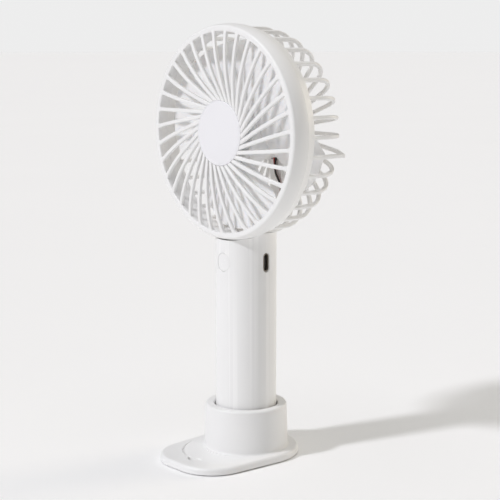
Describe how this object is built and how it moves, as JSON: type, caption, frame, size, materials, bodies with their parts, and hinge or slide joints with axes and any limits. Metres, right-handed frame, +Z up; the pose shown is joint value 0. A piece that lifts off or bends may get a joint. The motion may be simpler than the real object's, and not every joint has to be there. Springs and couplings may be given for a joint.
{
  "type": "handheld electric fan with desk dock",
  "caption": "Handheld electric fan with a swirl-spoked front grille, a ribbed rear guard and a round grip that stands in a collared desk dock.",
  "frame": {"origin": "on the surface under the dock's pad, on the axis of the grip", "axes": "+Z up along the grip; -Y is the way the fan blows and the dock's toe points; +X is the side with the charging socket"},
  "size_m": [0.1066, 0.074, 0.2188],
  "materials": {
    "shell_plastic": "satin",
    "badge_plastic": "satin",
    "blade_plastic": "satin",
    "steel": "satin",
    "iron": "matte",
    "copper": "satin",
    "brass": "satin",
    "dark_plastic": "matte",
    "wire_black": "satin",
    "wire_red": "satin",
    "board": "gloss",
    "cell_wrap": "gloss",
    "capacitor_can": "satin",
    "pad_rubber": "matte"
  },
  "bodies": {
    "dock": {"dock_body": "shell_plastic", "dock_pad": "pad_rubber"},
    "fan": {"front_grille": "shell_plastic", "badge_cap": "badge_plastic", "rear_guard": "shell_plastic", "rear_cover": "shell_plastic", "motor_can": "steel", "motor_magnets": "iron", "motor_end_cap": "dark_plastic", "motor_bushes": "brass", "motor_brushes": "brass", "motor_screws": "steel", "motor_lead_black": "wire_black", "motor_lead_red": "wire_red", "handle_front": "shell_plastic", "handle_rear": "shell_plastic", "handle_cap": "shell_plastic", "handle_screws": "steel", "push_switch": "dark_plastic", "main_board": "board", "board_screws": "steel", "charge_chip": "dark_plastic", "boost_inductor": "iron", "filter_capacitor": "capacitor_can", "usb_shell": "steel", "usb_tongue": "dark_plastic", "battery_cell": "cell_wrap", "battery_tabs": "steel", "battery_lead_black": "wire_black", "battery_lead_red": "wire_red"},
    "rotor": {"impeller": "blade_plastic", "motor_shaft": "steel", "armature_core": "iron", "armature_windings": "copper", "commutator": "copper"},
    "button": {"power_button": "shell_plastic", "switch_plunger": "dark_plastic"}
  },
  "joints": [
    {"name": "fan_lift", "type": "slide", "parent": "dock", "child": "fan", "axis": [0, 0, 1], "range_m": [0, 0.03]},
    {"name": "impeller_spin", "type": "hinge", "parent": "fan", "child": "rotor", "pos_m": [0, 0, 0.1655], "axis": [0, -1, 0], "continuous": true},
    {"name": "button_press", "type": "slide", "parent": "fan", "child": "button", "axis": [0, 1, 0], "range_m": [0, 0.0004], "stiffness_N_per_m": 3000, "springref_m": -0.0001}
  ]
}
